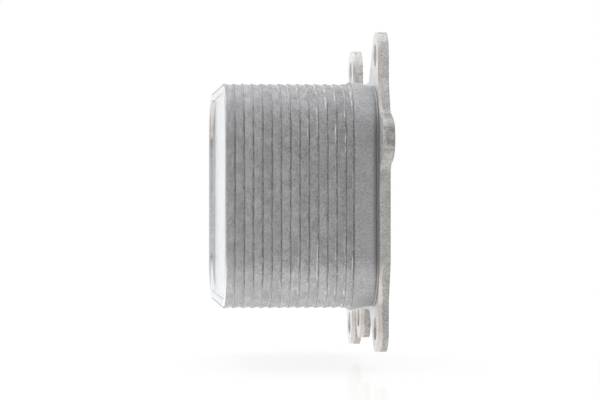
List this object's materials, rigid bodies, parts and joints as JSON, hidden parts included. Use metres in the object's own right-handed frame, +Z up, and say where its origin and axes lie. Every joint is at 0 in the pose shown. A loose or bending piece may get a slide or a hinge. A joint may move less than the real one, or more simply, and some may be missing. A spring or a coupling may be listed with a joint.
{
  "type": "engine oil cooler",
  "caption": "Brazed aluminium plate cooler: a block of nested dished plates on a deep base pan, closed by an end cover, on an eared mounting flange.",
  "frame": {"origin": "middle of the flange's flat mounting face, level with the middle of the plate block", "axes": "+X out of the mounting face, away from the plates; Y along the long side of the plates; +Z up as pictured, along their short side"},
  "size_m": [0.0594, 0.1338, 0.1186],
  "materials": {
    "flange": "blanked edge, satin faces",
    "pan": "smooth drawn satin",
    "plates": "matte, sandy from brazing",
    "cover": "bright rolled",
    "fins": "plain"
  },
  "bodies": {
    "root": {"mounting_flange": "flange", "base_pan": "pan", "dish_plate_01": "plates", "dish_plate_02": "plates", "dish_plate_03": "plates", "dish_plate_04": "plates", "dish_plate_05": "plates", "dish_plate_06": "plates", "dish_plate_07": "plates", "dish_plate_08": "plates", "dish_plate_09": "plates", "dish_plate_10": "plates", "dish_plate_11": "plates", "dish_plate_12": "plates", "dish_plate_13": "plates", "dish_plate_14": "plates", "end_cover": "cover", "coolant_turbulator_1": "fins", "coolant_turbulator_2": "fins", "coolant_turbulator_3": "fins", "coolant_turbulator_4": "fins", "coolant_turbulator_5": "fins", "coolant_turbulator_6": "fins", "coolant_turbulator_7": "fins", "coolant_turbulator_8": "fins", "oil_turbulator_1": "fins", "oil_turbulator_2": "fins", "oil_turbulator_3": "fins", "oil_turbulator_4": "fins", "oil_turbulator_5": "fins", "oil_turbulator_6": "fins", "oil_turbulator_7": "fins"}
  },
  "joints": []
}
